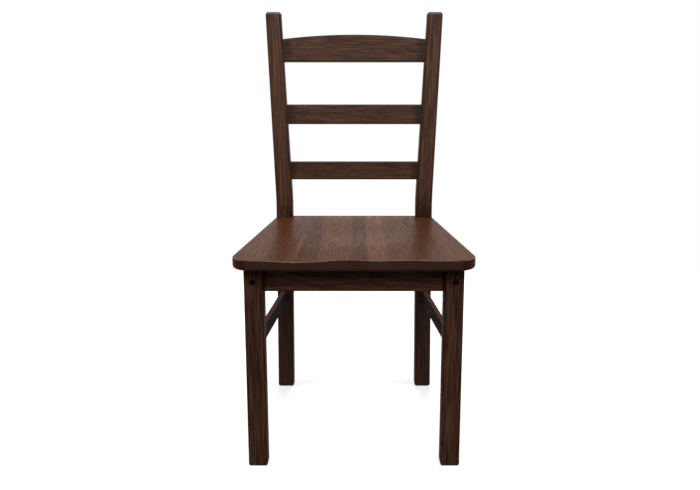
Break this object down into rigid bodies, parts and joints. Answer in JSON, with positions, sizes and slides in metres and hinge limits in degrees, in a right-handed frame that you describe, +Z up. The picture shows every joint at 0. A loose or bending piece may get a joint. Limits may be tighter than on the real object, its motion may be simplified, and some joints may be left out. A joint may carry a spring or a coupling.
{
  "type": "wooden dining chair",
  "caption": "Dark wooden dining chair with square legs, side stretchers, a scooped stave seat and a leaning ladder back with an arched crest rail.",
  "frame": {"origin": "on the floor, under the middle of the chair's overall box", "axes": "+Z up, -Y the way the sitter faces, +X to the right as seen from in front of the chair"},
  "size_m": [0.4818, 0.5728, 0.951],
  "materials": {
    "seat_wood": "satin walnut stain",
    "frame_wood": "satin walnut stain",
    "dowel_wood": "bare beech",
    "dark_steel": "black oxide",
    "zinc_steel": "zinc plated"
  },
  "bodies": {
    "root": {"barrel_nuts": "zinc_steel", "connector_bolts": "dark_steel", "crest_rail": "frame_wood", "front_apron": "frame_wood", "front_leg_left": "frame_wood", "front_leg_right": "frame_wood", "locating_dowels": "dowel_wood", "lower_rail": "frame_wood", "middle_rail": "frame_wood", "rear_apron": "frame_wood", "rear_post_left": "frame_wood", "rear_post_right": "frame_wood", "seat_screws": "zinc_steel", "seat_stave_1": "seat_wood", "seat_stave_2": "seat_wood", "seat_stave_3": "seat_wood", "seat_stave_4": "seat_wood", "seat_stave_5": "seat_wood", "seat_stave_6": "seat_wood", "seat_stave_7": "seat_wood", "seat_stave_8": "seat_wood", "seat_stave_9": "seat_wood", "side_apron_left": "frame_wood", "side_apron_right": "frame_wood", "side_stretcher_left": "frame_wood", "side_stretcher_right": "frame_wood"}
  },
  "joints": []
}
